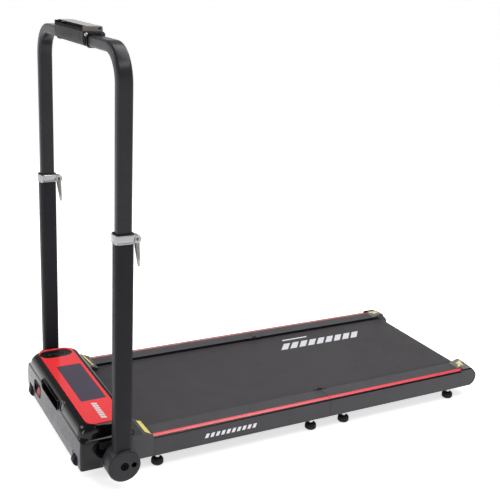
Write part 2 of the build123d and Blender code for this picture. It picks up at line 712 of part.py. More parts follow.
with BuildPart() as console_top:
    outline = [(front, 1163), (front, 1169.5), (front + 3, 1169.5), (front + 3, 1166.5), (front + 10, 1166.5),
               (front + 10, console_top_z), (tube_y + 21, console_top_z), (tube_y + 22, 1163)]
    profile_x(outline, -console_half, console_half)
    for x in (-console_half + 3, -58, console_half - 3):
        # webs that end the groove and divide it
        box_between((x - 3, x + 3), (front, front + 10), (1163, 1174))
    for s in (-1, 1):
        box_between(sorted((s * (console_half - 12), s * (console_half + 1))), (tube_y + 10, tube_y + 17),
                    (1167, 1173), Mode.SUBTRACT)
keep(console_top, "console_top")

with BuildPart() as console_ends:
    for s in (-1, 1):
        x0 = s * console_half
        cap = [(front + 2, 1147), (front + 13, 1125), (tube_y + 18, 1125), (tube_y + 27, 1138),
               (tube_y + 27, 1160), (front + 2, 1162)]
        profile_x(cap, x0, x0 + s * 4)
        with BuildSketch(Plane.YZ.offset(min(x0, x0 + s * 9))):
            with Locations((tube_y, bar_z)):
                RectangleRounded(47, 35, 11)
        extrude(amount=9)
        box_between(sorted((x0 - s, x0 + s * 10)), (tube_y - 20, tube_y + 20), (bar_z - 14, bar_z + 14),
                    Mode.SUBTRACT)
keep(console_ends, "console_end_caps")

print(len(made), "nodes")
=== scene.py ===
import json
import math
from collections import namedtuple

import bmesh
import bpy
from mathutils import Matrix, Vector
from mathutils.bvhtree import BVHTree


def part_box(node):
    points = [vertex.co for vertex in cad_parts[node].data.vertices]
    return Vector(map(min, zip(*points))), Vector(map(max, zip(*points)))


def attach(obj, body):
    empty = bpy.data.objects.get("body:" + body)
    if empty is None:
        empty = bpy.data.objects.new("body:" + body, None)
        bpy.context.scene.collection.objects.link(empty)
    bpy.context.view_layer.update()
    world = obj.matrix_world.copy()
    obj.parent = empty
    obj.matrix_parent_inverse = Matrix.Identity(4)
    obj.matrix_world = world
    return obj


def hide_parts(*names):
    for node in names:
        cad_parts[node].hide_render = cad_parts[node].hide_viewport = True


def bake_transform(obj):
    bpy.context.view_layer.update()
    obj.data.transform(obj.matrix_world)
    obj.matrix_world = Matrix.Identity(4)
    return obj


# Looks for a flat walking treadmill with a folding deck and a folding handle.
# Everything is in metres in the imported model's frame: X across, Y from the hood to the tail, Z up.
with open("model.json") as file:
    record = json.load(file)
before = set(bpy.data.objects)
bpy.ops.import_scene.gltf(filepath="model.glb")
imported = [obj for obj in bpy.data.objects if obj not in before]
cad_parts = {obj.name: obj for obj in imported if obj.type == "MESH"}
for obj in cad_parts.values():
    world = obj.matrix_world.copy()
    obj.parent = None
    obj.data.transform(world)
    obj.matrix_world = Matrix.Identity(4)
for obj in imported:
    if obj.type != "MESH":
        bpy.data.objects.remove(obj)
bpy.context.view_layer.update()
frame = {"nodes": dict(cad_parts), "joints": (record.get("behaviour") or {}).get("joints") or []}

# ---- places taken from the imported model
MM = 0.001
SIDES = {"left": -1, "right": 1}
# the half of the deck, and the body that it rides
HALVES = {"front": "base", "rear": "deck_rear"}
# how far the pin hole in a pivot disc lies behind its bolt
PIN_HOLE_Y = 26 * MM

Place = namedtuple("Place", "x y z")


def middle_and_half(node):
    """The middle of a CAD node's box, and half its size."""
    low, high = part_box(node)
    return Place(*[(a + b) / 2 for a, b in zip(low, high)]), Place(*[(b - a) / 2 for a, b in zip(low, high)])


hood_low, hood_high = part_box("hood_base")
_, cover_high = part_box("hood_cover")
panel_low, panel_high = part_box("top_panel")
_, rail_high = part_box("front_rails")
tail_low, tail_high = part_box("rear_end_caps")
belt_low, belt_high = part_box("walking_belt_front")
_, belt_rear_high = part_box("walking_belt_rear")
lower_low, lower_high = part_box("lower_tube_right")
handle_low, handle_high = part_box("handle_tube")
console_low, console_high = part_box("console_body")
collar_low, collar_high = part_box("clamp_collars")
grip_middle, grip_half = middle_and_half("grip_insert")
grip_centre = (grip_middle.x, grip_middle.z)
joint_at = {j["name"]: Vector(j.get("pos_m") or (0, 0, 0)) for j in frame["joints"]}

tube_x = (lower_low.x + lower_high.x) / 2
tube_y = (lower_low.y + lower_high.y) / 2
seam = joint_at["deck_fold"]
rail_x = rail_high.x


# ---- materials
def shade(r, g, b):
    """A colour given as it looks on a screen, 0 to 255, as linear values."""
    def channel(c):
        c /= 255
        return c / 12.92 if c <= 0.04045 else ((c + 0.055) / 1.055) ** 2.4
    return (channel(r), channel(g), channel(b), 1)


class Nodes:
    """A material's node tree, with short calls for the nodes that the materials share."""

    def __init__(self, name, **constants):
        self.material = bpy.data.materials.new(name)
        self.material.use_nodes = True
        self.tree = self.material.node_tree
        self.shader = self.tree.nodes["Principled BSDF"]
        self.coordinates = self.add("ShaderNodeTexCoord").outputs["Object"]
        for key, value in constants.items():
            self.shader.inputs[key.replace("_", " ")].default_value = value

    def add(self, kind, **settings):
        node = self.tree.nodes.new(kind)
        for key, value in settings.items():
            setattr(node, key, value)
        return node

    def link(self, source, target):
        self.tree.links.new(source, target)

    def stretched(self, scale):
        """Object coordinates scaled along each axis."""
        mapping = self.add("ShaderNodeMapping")
        mapping.inputs["Scale"].default_value = scale
        self.link(self.coordinates, mapping.inputs["Vector"])
        return mapping.outputs["Vector"]

    def noise(self, scale, detail=3.0, vector=None):
        node = self.add("ShaderNodeTexNoise")
        node.inputs["Scale"].default_value = scale
        node.inputs["Detail"].default_value = detail
        self.link(vector or self.coordinates, node.inputs["Vector"])
        return node.outputs["Fac"]

    def math(self, operation, a, b):
        node = self.add("ShaderNodeMath", operation=operation)
        for i, value in enumerate((a, b)):
            if isinstance(value, (int, float)):
                node.inputs[i].default_value = value
            else:
                self.link(value, node.inputs[i])
        return node.outputs[0]

    def spread(self, value, low, high):
        """value, stretched from its usual middle range to low..high."""
        node = self.add("ShaderNodeMapRange")
        limits = {"From Min": 0.3, "From Max": 0.7, "To Min": low, "To Max": high}
        for key, number in limits.items():
            node.inputs[key].default_value = number
        self.link(value, node.inputs["Value"])
        return node.outputs["Result"]

    def bump(self, height, strength, distance=0.0003, under=None):
        node = self.add("ShaderNodeBump")
        node.inputs["Strength"].default_value = strength
        node.inputs["Distance"].default_value = distance
        self.link(height, node.inputs["Height"])
        if under is not None:
            self.link(under, node.inputs["Normal"])
        return node.outputs["Normal"]

    def mottle(self, value, dark, light, low=0.3, high=0.7):
        """Base colour between two tones, as a value goes from low to high."""
        ramp = self.add("ShaderNodeValToRGB")
        first, last = ramp.color_ramp.elements
        first.position, first.color = low, dark
        last.position, last.color = high, light
        self.link(value, ramp.inputs["Fac"])
        self.link(ramp.outputs["Color"], self.shader.inputs["Base Color"])

    def roughness(self, source):
        self.link(source, self.shader.inputs["Roughness"])

    def normal(self, source):
        self.link(source, self.shader.inputs["Normal"])


def scaled(colour, factor):
    return tuple(min(1.0, c * factor) for c in colour[:3]) + (1,)


def surface(name, colour, roughness, variation=0.08, patch=14.0, grain=900.0, bump=0.15, waviness=0.0,
            spread=0.05, metallic=0.0, coat=0.0, specular=0.5):
    """Moulded plastic, paint or cast metal: uneven colour, uneven gloss and a fine grain."""
    colour = shade(*colour)
    n = Nodes(name, Metallic=metallic, Specular_IOR_Level=specular, Coat_Weight=coat, Coat_Roughness=0.06)
    n.mottle(n.noise(patch), scaled(colour, 1 - variation), scaled(colour, 1 + variation))
    n.roughness(n.spread(n.noise(patch * 3.1, 5.0), roughness - spread, roughness + spread))
    normal = n.bump(n.noise(grain, 4.0), bump)
    if waviness:
        normal = n.bump(n.noise(26.0, 1.0), waviness, 0.002, normal)
    n.normal(normal)
    return n.material


def brushed(name, colour, roughness, along):
    """Metal with fine lines along one axis, or round the third axis when two are given."""
    colour = shade(*colour)
    n = Nodes(name, Metallic=1.0)
    scale = [12.0 if axis in along else 1400.0 for axis in "XYZ"]
    lines = n.noise(1.0, 3.0, n.stretched(scale))
    n.mottle(lines, scaled(colour, 0.86), scaled(colour, 1.12))
    n.roughness(n.spread(lines, roughness - 0.08, roughness + 0.08))
    n.normal(n.bump(lines, 0.12, 0.0001))
    return n.material


def belt_material():
    """Walking belt: a fine crossed weave pressed into dark rubber, with blotchy tone and uneven gloss."""
    n = Nodes("belt_weave", Specular_IOR_Level=0.3, Sheen_Weight=0.05, Sheen_Roughness=0.5)
    waves = []
    for direction in ("X", "Y"):
        wave = n.add("ShaderNodeTexWave", bands_direction=direction)
        wave.inputs["Scale"].default_value = 330.0
        wave.inputs["Distortion"].default_value = 0.6
        n.link(n.coordinates, wave.inputs["Vector"])
        waves.append(wave.outputs["Fac"])
    weave = n.math("MULTIPLY", *waves)
    blotches = n.noise(5.0, 6.0)
    mixed = n.math("ADD", n.math("MULTIPLY", weave, 0.25), n.math("MULTIPLY", blotches, 0.75))
    n.mottle(mixed, shade(48, 45, 47), shade(57, 54, 56), 0.2, 0.8)
    n.roughness(n.spread(n.noise(9.0, 4.0), 0.46, 0.58))
    n.normal(n.bump(weave, 0.35, 0.0003, n.bump(n.noise(1500.0, 2.0), 0.1, 0.0001)))
    return n.material


def strip_material():
    """Foot strips: dark grey plastic with fine lengthwise ribs."""
    n = Nodes("strip_ribbed")
    wave = n.add("ShaderNodeTexWave", bands_direction="X", wave_profile="SIN")
    wave.inputs["Scale"].default_value = 90.0
    n.link(n.coordinates, wave.inputs["Vector"])
    n.mottle(n.noise(18.0, 5.0), shade(54, 54, 56), shade(62, 62, 65))
    n.roughness(n.spread(n.noise(40.0, 5.0), 0.38, 0.5))
    n.normal(n.bump(wave.outputs["Fac"], 0.25, 0.0004, n.bump(n.noise(1100.0, 3.0), 0.3, 0.0002)))
    return n.material


def floor_material():
    n = Nodes("studio_floor", Emission_Color=(1, 1, 1, 1), Emission_Strength=0.66)
    n.mottle(n.noise(0.8), (0.93, 0.93, 0.93, 1), (0.95, 0.95, 0.95, 1))
    n.roughness(n.spread(n.noise(2.0), 0.6, 0.7))
    return n.material


tube_paint = surface("tube_paint", (36, 35, 39), 0.30, grain=1300.0, bump=0.08, specular=0.2)
upright_paint = surface("upright_paint", (34, 33, 37), 0.44, grain=1300.0, bump=0.08, specular=0.1)
rail_paint = surface("rail_paint", (45, 43, 47), 0.34, grain=1200.0, bump=0.12, specular=0.35)
cover_plastic = surface("cover_plastic", (53, 52, 55), 0.40, grain=1000.0, bump=0.3, specular=0.35)
hood_grey = surface("hood_grey", (53, 50, 59), 0.26, grain=1200.0, bump=0.03, variation=0.03,
                    specular=0.28)
bead_black = surface("bead_black", (10, 10, 12), 0.22, variation=0.1, bump=0.02, specular=0.3)
gloss_black = surface("gloss_black", (9, 9, 11), 0.11, variation=0.15, bump=0.015, waviness=0.04,
                      spread=0.03, specular=0.28)
panel_red = surface("panel_red", (238, 56, 60), 0.18, variation=0.03, bump=0.03, spread=0.03, coat=0.3)
trim_red = surface("trim_red", (226, 70, 80), 0.30, variation=0.05, bump=0.12)
rocker_red = surface("rocker_red", (146, 12, 10), 0.3, bump=0.03, specular=0.12)
window_gloss = surface("window_gloss", (70, 62, 78), 0.14, variation=0.06, patch=7.0, bump=0.01,
                       spread=0.02)
pad_gloss = surface("pad_gloss", (16, 20, 18), 0.22, variation=0.2, patch=40.0, bump=0.04, specular=0.4)
matt_black = surface("matt_black", (15, 15, 17), 0.55, bump=0.3, specular=0.3)
rubber = surface("rubber", (14, 14, 15), 0.62, grain=700.0, bump=0.35, variation=0.15, specular=0.3)
# a lighter beige for the upward faces of the tail caps, a painted sheen
cap_top_painted_sheen = surface("cap_top_painted_sheen", (112, 107, 96), 0.34, grain=1000.0, bump=0.25)
console_dark = surface("console_dark", (22, 20, 22), 0.34, grain=1000.0, bump=0.2, specular=0.06)
# a darker copy of the console's silver: painted shade for the end faces of its top
console_shaded_grey = surface("console_shaded_grey", (104, 100, 95), 0.36, grain=1400.0, bump=0.12, metallic=0.3)
socket_black = surface("socket_black", (34, 33, 37), 0.2, bump=0.1, specular=0.4)
recess_black = surface("recess_black", (6, 6, 7), 0.7, bump=0.3, specular=0.1)
console_silver = surface("console_silver", (168, 166, 160), 0.36, grain=1400.0, bump=0.12, metallic=0.3)
cast_silver = surface("cast_silver", (158, 158, 159), 0.32, patch=60.0, grain=800.0, bump=0.2,
                      metallic=1.0, spread=0.06)
zinc_dark = surface("zinc_dark", (120, 116, 112), 0.4, variation=0.1, patch=80.0, metallic=0.8, bump=0.2)
zinc = surface("zinc", (190, 190, 188), 0.30, patch=80.0, metallic=1.0, bump=0.1)
steel_black = surface("steel_black", (16, 16, 18), 0.38, grain=1500.0, bump=0.15, specular=0.35)
frame_black = surface("frame_black", (28, 28, 30), 0.42, grain=1100.0, bump=0.2, specular=0.35)
board_laminate = surface("board_laminate", (30, 28, 27), 0.35, grain=600.0, bump=0.15)
circuit_green = surface("circuit_green", (26, 70, 48), 0.4, grain=300.0, bump=0.4)
decal_yellow = surface("decal_yellow", (228, 210, 112), 0.45, variation=0.06, bump=0.05)
decal_pale = surface("decal_pale", (214, 206, 160), 0.45, bump=0.05)
decal_white = surface("decal_white", (214, 214, 218), 0.4, variation=0.03, bump=0.05)
belt_line_dark = surface("belt_line_dark", (20, 19, 20), 0.6, variation=0.1, bump=0.2)
roller_steel = brushed("roller_steel", (180, 180, 178), 0.32, "X")
collar_silver = brushed("collar_silver", (150, 150, 151), 0.22, "XY")
belt_weave = belt_material()
strip_ribbed = strip_material()


# ---- outlines
def mm(pairs):
    """Pairs of millimetres in metres."""
    return [(u * MM, v * MM) for u, v in pairs]


def ring_at(axis, along, outline):
    """The points of a flat outline of (u, v) that is held square to an axis, at a place along it."""
    if axis == "X":
        return [(along, u, v) for u, v in outline]
    if axis == "Y":
        return [(u, along, v) for u, v in outline]
    return [(u, v, along) for u, v in outline]


def arc(centre, radius, first, last, steps=6):
    """Points along part of a circle, angles in degrees."""
    points = []
    for i in range(steps + 1):
        a = math.radians(first + (last - first) * i / steps)
        points.append((centre[0] + radius * math.cos(a), centre[1] + radius * math.sin(a)))
    return points


def rounded_rectangle(half_u, half_v, radius, steps=6, centre=(0.0, 0.0)):
    """Points of a rounded rectangle, the same number whatever its size."""
    points = []
    for corner, (su, sv) in enumerate(((1, 1), (-1, 1), (-1, -1), (1, -1))):
        turn = (centre[0] + su * (half_u - radius), centre[1] + sv * (half_v - radius))
        points += arc(turn, radius, 90 * corner, 90 * corner + 90, steps)
    return points


def pill(half_length, radius, steps=12, centre=(0.0, 0.0)):
    """A slot outline: two half circles joined by straight sides along u."""
    points = []
    for side in (1, -1):
        turn = (centre[0] + side * (half_length - radius), centre[1])
        points += arc(turn, radius, -90 * side, 180 - 90 * side, steps)
    return points


def slanted_bars(u0, u1, v0, v1, count, slant, gap=0.28):
    """A row of slanted bars between u0 and u1, each from v0 to v1."""
    pitch = (u1 - u0 - slant) / count
    bars = []
    for i in range(count):
        left = u0 + pitch * i
        right = left + pitch * (1 - gap)
        bars.append([(left, v0), (right, v0), (right + slant, v1), (left + slant, v1)])
    return bars


# ---- meshes
def new_piece(name, bm, material, sharp=32):
    """An object from a bmesh, its faces turned outwards and smooth between its sharp edges."""
    bmesh.ops.recalc_face_normals(bm, faces=bm.faces)
    mesh = bpy.data.meshes.new(name)
    bm.to_mesh(mesh)
    bm.free()
    mesh.materials.append(material)
    piece = bpy.data.objects.new(name, mesh)
    finish_normals(piece, sharp)
    bpy.context.scene.collection.objects.link(piece)
    return piece


def finish_normals(piece, sharp=32):
    """Shade a piece smooth except at edges sharper than the given angle."""
    for polygon in piece.data.polygons:
        polygon.use_smooth = True
    piece.data.set_sharp_from_angle(angle=math.radians(sharp))


def settle(piece, body, slot, *nodes):
    """Put a piece on its body and hide the CAD nodes that it stands for; its slot, the finish's name, is not
    used.
    """
    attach(piece, body)
    if nodes:
        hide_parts(*nodes)
    return piece


def rounded_edges(piece, width, segments=2, angle=35):
    bevel = piece.modifiers.new("rounded", "BEVEL")
    bevel.width = width
    bevel.segments = segments
    bevel.limit_method = "ANGLE"
    bevel.angle_limit = math.radians(angle)
    bevel.harden_normals = True
    bevel.use_clamp_overlap = True
    return piece


def cut(piece, *cutters):
    """Subtract each cutter from the piece and delete it."""
    for cutter in cutters:
        modifier = piece.modifiers.new("cut", "BOOLEAN")
        modifier.operation = "DIFFERENCE"
        modifier.solver = "EXACT"
        modifier.object = cutter
        apply_modifiers(piece)
        bpy.data.objects.remove(cutter)
    return piece


def apply_modifiers(piece):
    bpy.context.view_layer.update()
    graph = bpy.context.evaluated_depsgraph_get()
    mesh = bpy.data.meshes.new_from_object(piece.evaluated_get(graph))
    piece.modifiers.clear()
    piece.data = mesh
    return piece


def joined(pieces, name):
    """One object from several of the same material."""
    bm = bmesh.new()
    material = pieces[0].data.materials[0]
    for piece in pieces:
        bm.from_mesh(piece.data)
        bpy.data.objects.remove(piece)
    return new_piece(name, bm, material)


def softened(node, body, slot, material, width, segments=2):
    """The CAD node's own shape with its sharp edges rounded, standing for that node."""
    bm = bmesh.new()
    bm.from_mesh(frame["nodes"][node].data)
    bmesh.ops.remove_doubles(bm, verts=bm.verts, dist=1e-6)
    bmesh.ops.dissolve_limit(bm, angle_limit=math.radians(0.6), verts=bm.verts, edges=bm.edges)
    piece = rounded_edges(new_piece(node + "_finish", bm, material), width, segments)
    return settle(piece, body, slot, node)


def repaint(piece, material, chosen):
    """Give a second material to the faces for which chosen(face) is true."""
    piece.data.materials.append(material)
    for polygon in piece.data.polygons:
        if chosen(polygon):
            polygon.material_index = len(piece.data.materials) - 1
    return piece


def loft(bm, rings, close_first=True, close_last=True, loop=False):
    """Join rings of equal count with quads; each ring is a closed list of 3-D points."""
    rows = [[bm.verts.new(p) for p in ring] for ring in rings]
    count = len(rows[0])
    pairs = list(zip(rows, rows[1:]))
    if loop:
        pairs.append((rows[-1], rows[0]))
    for a, b in pairs:
        for i in range(count):
            j = (i + 1) % count
            bm.faces.new((a[i], a[j], b[j], b[i]))
    if close_first and not loop:
        bm.faces.new(rows[0])
    if close_last and not loop:
        bm.faces.new(rows[-1][::-1])
    return rows


def lofted(name, rings, material, sharp=32, **how):
    bm = bmesh.new()
    loft(bm, rings, **how)
    return new_piece(name, bm, material, sharp)


def extruded(name, outline, axis, places, material):
    """One outline repeated at each of the places along an axis, and joined up."""
    return lofted(name, [ring_at(axis, place, outline) for place in places], material)


def turned(name, profile, place, material, axis="X", steps=48, **how):
    """A shape turned round an axis: profile is (distance along the axis, radius) pairs in millimetres."""
    angles = [2 * math.pi * i / steps for i in range(steps)]
    rings = []
    for along, radius in profile:
        circle = mm([(radius * math.cos(a), radius * math.sin(a)) for a in angles])
        rings.append([Vector(point) + Vector(place) for point in ring_at(axis, along * MM, circle)])
    return lofted(name, rings, material, **how)


def plate(name, outlines, axis, place, thickness, material, edge=0.0):
    """A flat plate that starts at a place along an axis. The first outline is its edge, the others holes."""
    bm = bmesh.new()
    edges = []
    for outline in outlines:
        corners = [bm.verts.new(point) for point in ring_at(axis, place, outline)]
        edges += [bm.edges.new(pair) for pair in zip(corners, corners[1:] + corners[:1])]
    bmesh.ops.triangle_fill(bm, use_beauty=True, edges=edges)
    thicken(bm, Vector(ring_at(axis, thickness, [(0, 0)])[0]))
    bmesh.ops.dissolve_limit(bm, angle_limit=math.radians(0.5), verts=bm.verts, edges=bm.edges)
    piece = new_piece(name, bm, material)
    if edge:
        rounded_edges(piece, edge, 3, 40)
    return piece


def thicken(bm, offset):
    """Turn a sheet of faces into a plate by moving a copy of it."""
    raised = bmesh.ops.extrude_face_region(bm, geom=bm.faces[:])
    moved = [v for v in raised["geom"] if isinstance(v, bmesh.types.BMVert)]
    bmesh.ops.translate(bm, vec=offset, verts=moved)


def node_tree(node):
    mesh = frame["nodes"][node].data
    mesh.calc_loop_triangles()
    return BVHTree.FromPolygons([v.co.copy() for v in mesh.vertices],
                                [tuple(t.vertices) for t in mesh.loop_triangles], epsilon=1e-7)


def surface_height(tree, x, y):
    """The height of a CAD surface at (x, y) from above, looking a little to each side of a missed spot."""
    for reach in (0.0, 0.05 * MM, 0.3 * MM, 1.0 * MM, 3.0 * MM):
        for du, dv in ((1, 0), (-1, 0), (0, 1), (0, -1)):
            hit = tree.ray_cast(Vector((x + du * reach, y + dv * reach, 2)), Vector((0, 0, -1)))[0]
            if hit:
                return hit.z
    raise ValueError(f"no surface at {x:.4f}, {y:.4f}")


def on_surface(name, outlines, node, material, lift=0.2 * MM, thickness=0.3 * MM, step=4 * MM):
    """A thin mark that lies on a CAD node's top surface: outlines are closed loops of (x, y)."""
    tree = node_tree(node)
    bm = bmesh.new()
    for outline in outlines:
        bm.faces.new([bm.verts.new((x, y, 0)) for x, y in outline])
    for axis in (0, 1):
        values = [point[axis] for outline in outlines for point in outline]
        low, high = min(values), max(values)
        for i in range(1, int((high - low) / step)):
            place, normal = Vector((0, 0, 0)), Vector((0, 0, 0))
            place[axis] = low + i * step
            normal[axis] = 1
            parts = bm.verts[:] + bm.edges[:] + bm.faces[:]
            bmesh.ops.bisect_plane(bm, geom=parts, plane_co=place, plane_no=normal)
    for v in bm.verts:
        v.co.z = surface_height(tree, v.co.x, v.co.y) + lift + thickness
    thicken(bm, Vector((0, 0, -thickness)))
    return new_piece(name, bm, material)


# ---- walking belt
def belt_line(front, rear):
    """The belt's path as (y, up, back), with its stations close together near the fold."""
    fine = 14 * MM
    stations = [front + (seam.y - fine - front) * i / 24 for i in range(24)]
    stations += [seam.y - fine + 2 * fine * i / 28 for i in range(28)]
    stations += [seam.y + fine + (rear - seam.y - fine) * i / 24 for i in range(25)]
    turn = [math.pi * i / 20 for i in range(1, 20)]
    line = [(y, 1.0, 0.0) for y in stations]
    line += [(rear, math.cos(a), math.sin(a)) for a in turn]
    line += [(y, -1.0, 0.0) for y in reversed(stations)]
    line += [(front, -math.cos(a), -math.sin(a)) for a in turn]
    return line


def walking_belt():
    """One closed belt round both rollers, with its stations close together at the fold."""
    half = belt_high.x
    radius = (belt_high.z - belt_low.z) / 2
    middle = (belt_high.z + belt_low.z) / 2
    thickness, chamfer, margin = 1.7 * MM, 0.5 * MM, 0.7 * MM
    columns = 16
    across = [-half + 2 * half * i / columns for i in range(1, columns)]
    across = [-half, -half + margin] + across + [half - margin, half]
    section = [(x, radius - chamfer * (abs(x) == half)) for x in across]
    section += [(x, radius - thickness + chamfer * (abs(x) == half)) for x in reversed(across)]
    line = belt_line(belt_low.y + radius, belt_rear_high.y - radius)
    rings = [[(x, y + back * r, middle + up * r) for x, r in section] for y, up, back in line]
    piece = lofted("walking_belt", rings, belt_weave, 60, loop=True)
    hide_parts("walking_belt_front", "walking_belt_rear")
    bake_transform(piece)


def belt_marks():
    """Plain slanted bars and a thin line on the belt, and a short dark line slanting in from its far edge.
    """
    def mark(name, outlines, half, material, lift, thickness):
        piece = on_surface(name, outlines, f"walking_belt_{half}", material, lift * MM, thickness * MM, 0.05)
        settle(piece, HALVES[half], "belt")

    near, far = -98 * MM, -140 * MM
    bars = slanted_bars(150 * MM, 505 * MM, 0, 1, 9, 34 * MM)
    bars = [[(near + (far - near) * v, y) for y, v in bar] for bar in bars]
    mark("belt_bars", bars, "rear", decal_white, 0.05, 0.15)
    thin = mm([(-163, 190), (-163, 290), (-171, 297), (-171, 197)])
    mark("belt_thin_bar", [thin], "rear", decal_white, 0.05, 0.15)
    # a short thin dark line that slants in from the belt's far edge
    dark_line = mm([(-208.5, -474.5), (-138, -440.5), (-138, -439.78), (-208.5, -472.1)])
    mark("belt_dark_line", [dark_line], "front", belt_line_dark, 0.02, 0.1)


# ---- deck
def deck():
    for half, body in HALVES.items():
        softened(f"{half}_rails", body, "rail_metal", rail_paint, 2.0 * MM, 4)
        strips = softened(f"{half}_foot_strips", body, "strip_plastic", strip_ribbed, 0.8 * MM, 3)
        # the walls that face the belt are painted black as the shadow they lie in
        repaint(strips, matt_black, lambda f: abs(f.normal.x) > 0.9 and abs(f.center.x) < 220 * MM)
        leaves = softened(f"fold_hinge_{half}_leaves", body, "frame_steel", steel_black, 0.25 * MM)
        # the knuckles are flat on top, just above their pin
        for v in leaves.data.vertices:
            v.co.z = min(v.co.z, seam.z + 3.3 * MM)
    softened("front_side_covers", "base", "cover_plastic", cover_plastic, 1.8 * MM, 3)
    caps = softened("rear_end_caps", "deck_rear", "cover_plastic", rail_paint, 2.2 * MM, 4)
    # the upward faces of the caps are painted a lighter beige, a painted sheen that they catch from above
    repaint(caps, cap_top_painted_sheen, lambda f: f.normal.z > 0.6)


def trims():
    """A red strip along each rail with a black bead outside it, which runs on over the tail cap."""
    _, trim_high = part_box("front_trims")
    inner, outer = 262, trim_high.x / MM
    red = [(inner, 95.9), (inner, 100.0), (inner + 0.6, 100.5), (inner + 6, 99.5), (outer - 4, 98.0),
           (outer - 3, 97.4), (outer - 2.8, 95.9)]
    bead = [(outer - 2.9, 95.8), (outer - 2.9, 97.0), (outer - 2.2, 97.8), (outer + 0.6, 97.9),
            (outer + 1.2, 97.6), (outer + 3.5, 95.3), (outer + 3.8, 94.7), (outer + 3.3, 94.3)]
    for half, body in HALVES.items():
        low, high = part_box(f"{half}_trims")
        strips = []
        for section, material in ((red, trim_red), (bead, bead_black)):
            outlines = [[(s * x, z) for x, z in mm(section)] for s in SIDES.values()]
            ends = (low.y, high.y)
            strips.append([extruded("strip", outline, "Y", ends, material) for outline in outlines])
        reds, beads = strips
        settle(rounded_edges(joined(reds, f"{half}_trim_red"), 0.3 * MM), body, "trim_red", f"{half}_trims")
        settle(joined(beads, f"{half}_trim_bead"), body, "rail_metal")
    for side, s in SIDES.items():
        cap_bead(s, side)


def cap_bead(s, side):
    """The bead that follows a tail cap's outer edge and goes round its end."""
    caps = node_tree("rear_end_caps")
    x = s * (rail_x - 2.2 * MM)
    length, flat_start, end_radius = 50 * MM, 14 * MM, 30 * MM
    path = []
    for i in range(12):
        y = tail_low.y + length * i / 11
        height = surface_height(caps, s * (rail_x - 3.6 * MM), max(y, tail_low.y + flat_start))
        path.append((y, height + 0.2 * MM))
    path += arc((tail_high.y - end_radius, tail_low.z + end_radius), end_radius + 0.4 * MM, 22, -74, 8)
    section = mm([(-3.0, -1.2), (-3.0, 0.7), (-2.2, 1.1), (2.2, 1.1), (3.0, 0.6), (3.0, -1.2)])
    rings = []
    for i, (y, z) in enumerate(path):
        before, after = Vector(path[max(i - 1, 0)]), Vector(path[min(i + 1, len(path) - 1)])
        along = (after - before).normalized()
        rings.append([(x + u, y - along.y * v, z + along.x * v) for u, v in section])
    bead = lofted(f"cap_bead_{side}", rings, recess_black)
    settle(rounded_edges(bead, 0.4 * MM), "deck_rear", "rail_metal")


def deck_marks():
    """Pale yellow stripes on the front covers and arrows on the tail caps, and bars on the near rail."""
    for side, s in SIDES.items():
        for name, m, material, lift in (("edge", 2.2, matt_black, 0.1), ("fill", 0.0, decal_yellow, 0.35)):
            if s > 0:
                outline = [(194 - m, -491 - m), (190 - m, -476 + m), (270 + m, -474 + m),
                           (262 + m, -491 - m)]
            else:
                outline = [(-200 + m, -488 - m), (-194 + m, -480 + m), (-268 - m, -490 + m),
                           (-272 - m, -499 - m)]
            piece = on_surface(f"stripe_{name}_{side}", [mm(outline)], "front_side_covers", material,
                               lift * MM)
            settle(piece, "base", "cover_plastic")
        # an arrow that points to the tail and the middle
        arrow = mm([(230, 653), (259, 645), (251, 640), (260, 629), (252, 626), (242, 635), (234, 632)])
        outline = [(s * x, y) for x, y in arrow]
        piece = on_surface(f"arrow_{side}", [outline], "rear_end_caps", decal_pale)
        settle(piece, "deck_rear", "cover_plastic")
    bars = slanted_bars(-316 * MM, -142 * MM, 60 * MM, 73 * MM, 10, 5 * MM, 0.4)
    for i, bar in enumerate(bars):
        piece = plate(f"rail_bar_{i}", [bar], "X", rail_x + 0.05 * MM, 0.2 * MM, decal_white)
        settle(piece, "base", "rail_metal")


def feet():
    """Ribbed rubber feet with a zinc collar on each stud."""
    radius = 17.5
    ribs = [(0.0, 0.0), (0.0, 11.5), (1.4, 14.2), (4.0, 16.6)]
    for i in range(3):
        z = 5.2 + 3.2 * i
        ribs += [(z, radius), (z + 1.8, radius), (z + 2.2, 16.9), (z + 2.8, 16.9)]
    ribs += [(14.8, 17.3), (17.6, 16.2), (20.0, 13.8), (21.8, 10.6), (22.6, 8.6), (22.6, 0.0)]
    collar = [(22.6, 0.0), (22.6, 6.6), (23.2, 7.0), (33.0, 7.0), (33.6, 6.4), (34.0, 5.0), (41.5, 5.0),
              (41.5, 0.0)]
    for half, body in HALVES.items():
        low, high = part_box(f"{half}_foot_pads")
        rows = (low.y + radius * MM, high.y - radius * MM)
        places = [(s * (high.x - radius * MM), y, 0) for s in SIDES.values() for y in rows]
        pads = [turned("foot", ribs, place, rubber, "Z", 40) for place in places]
        settle(joined(pads, f"{half}_feet"), body, "rubber", f"{half}_foot_pads")
        collars = [turned("collar", collar, place, zinc, "Z", 32) for place in places]
        settle(joined(collars, f"{half}_foot_collars"), body, "zinc_steel", f"{half}_foot_studs")


# ---- hood
def hood_outline(half, front, back, corner, steps):
    """A rounded rectangle across the hood, from its front to its back."""
    return rounded_rectangle(half, (back - front) / 2, corner, steps, (0, (front + back) / 2))


def hollowed(piece, thickness):
    """Turn an open skin into a wall that grows inwards."""
    wall = piece.modifiers.new("wall", "SOLIDIFY")
    wall.thickness = thickness
    wall.offset = -1
    return apply_modifiers(piece)


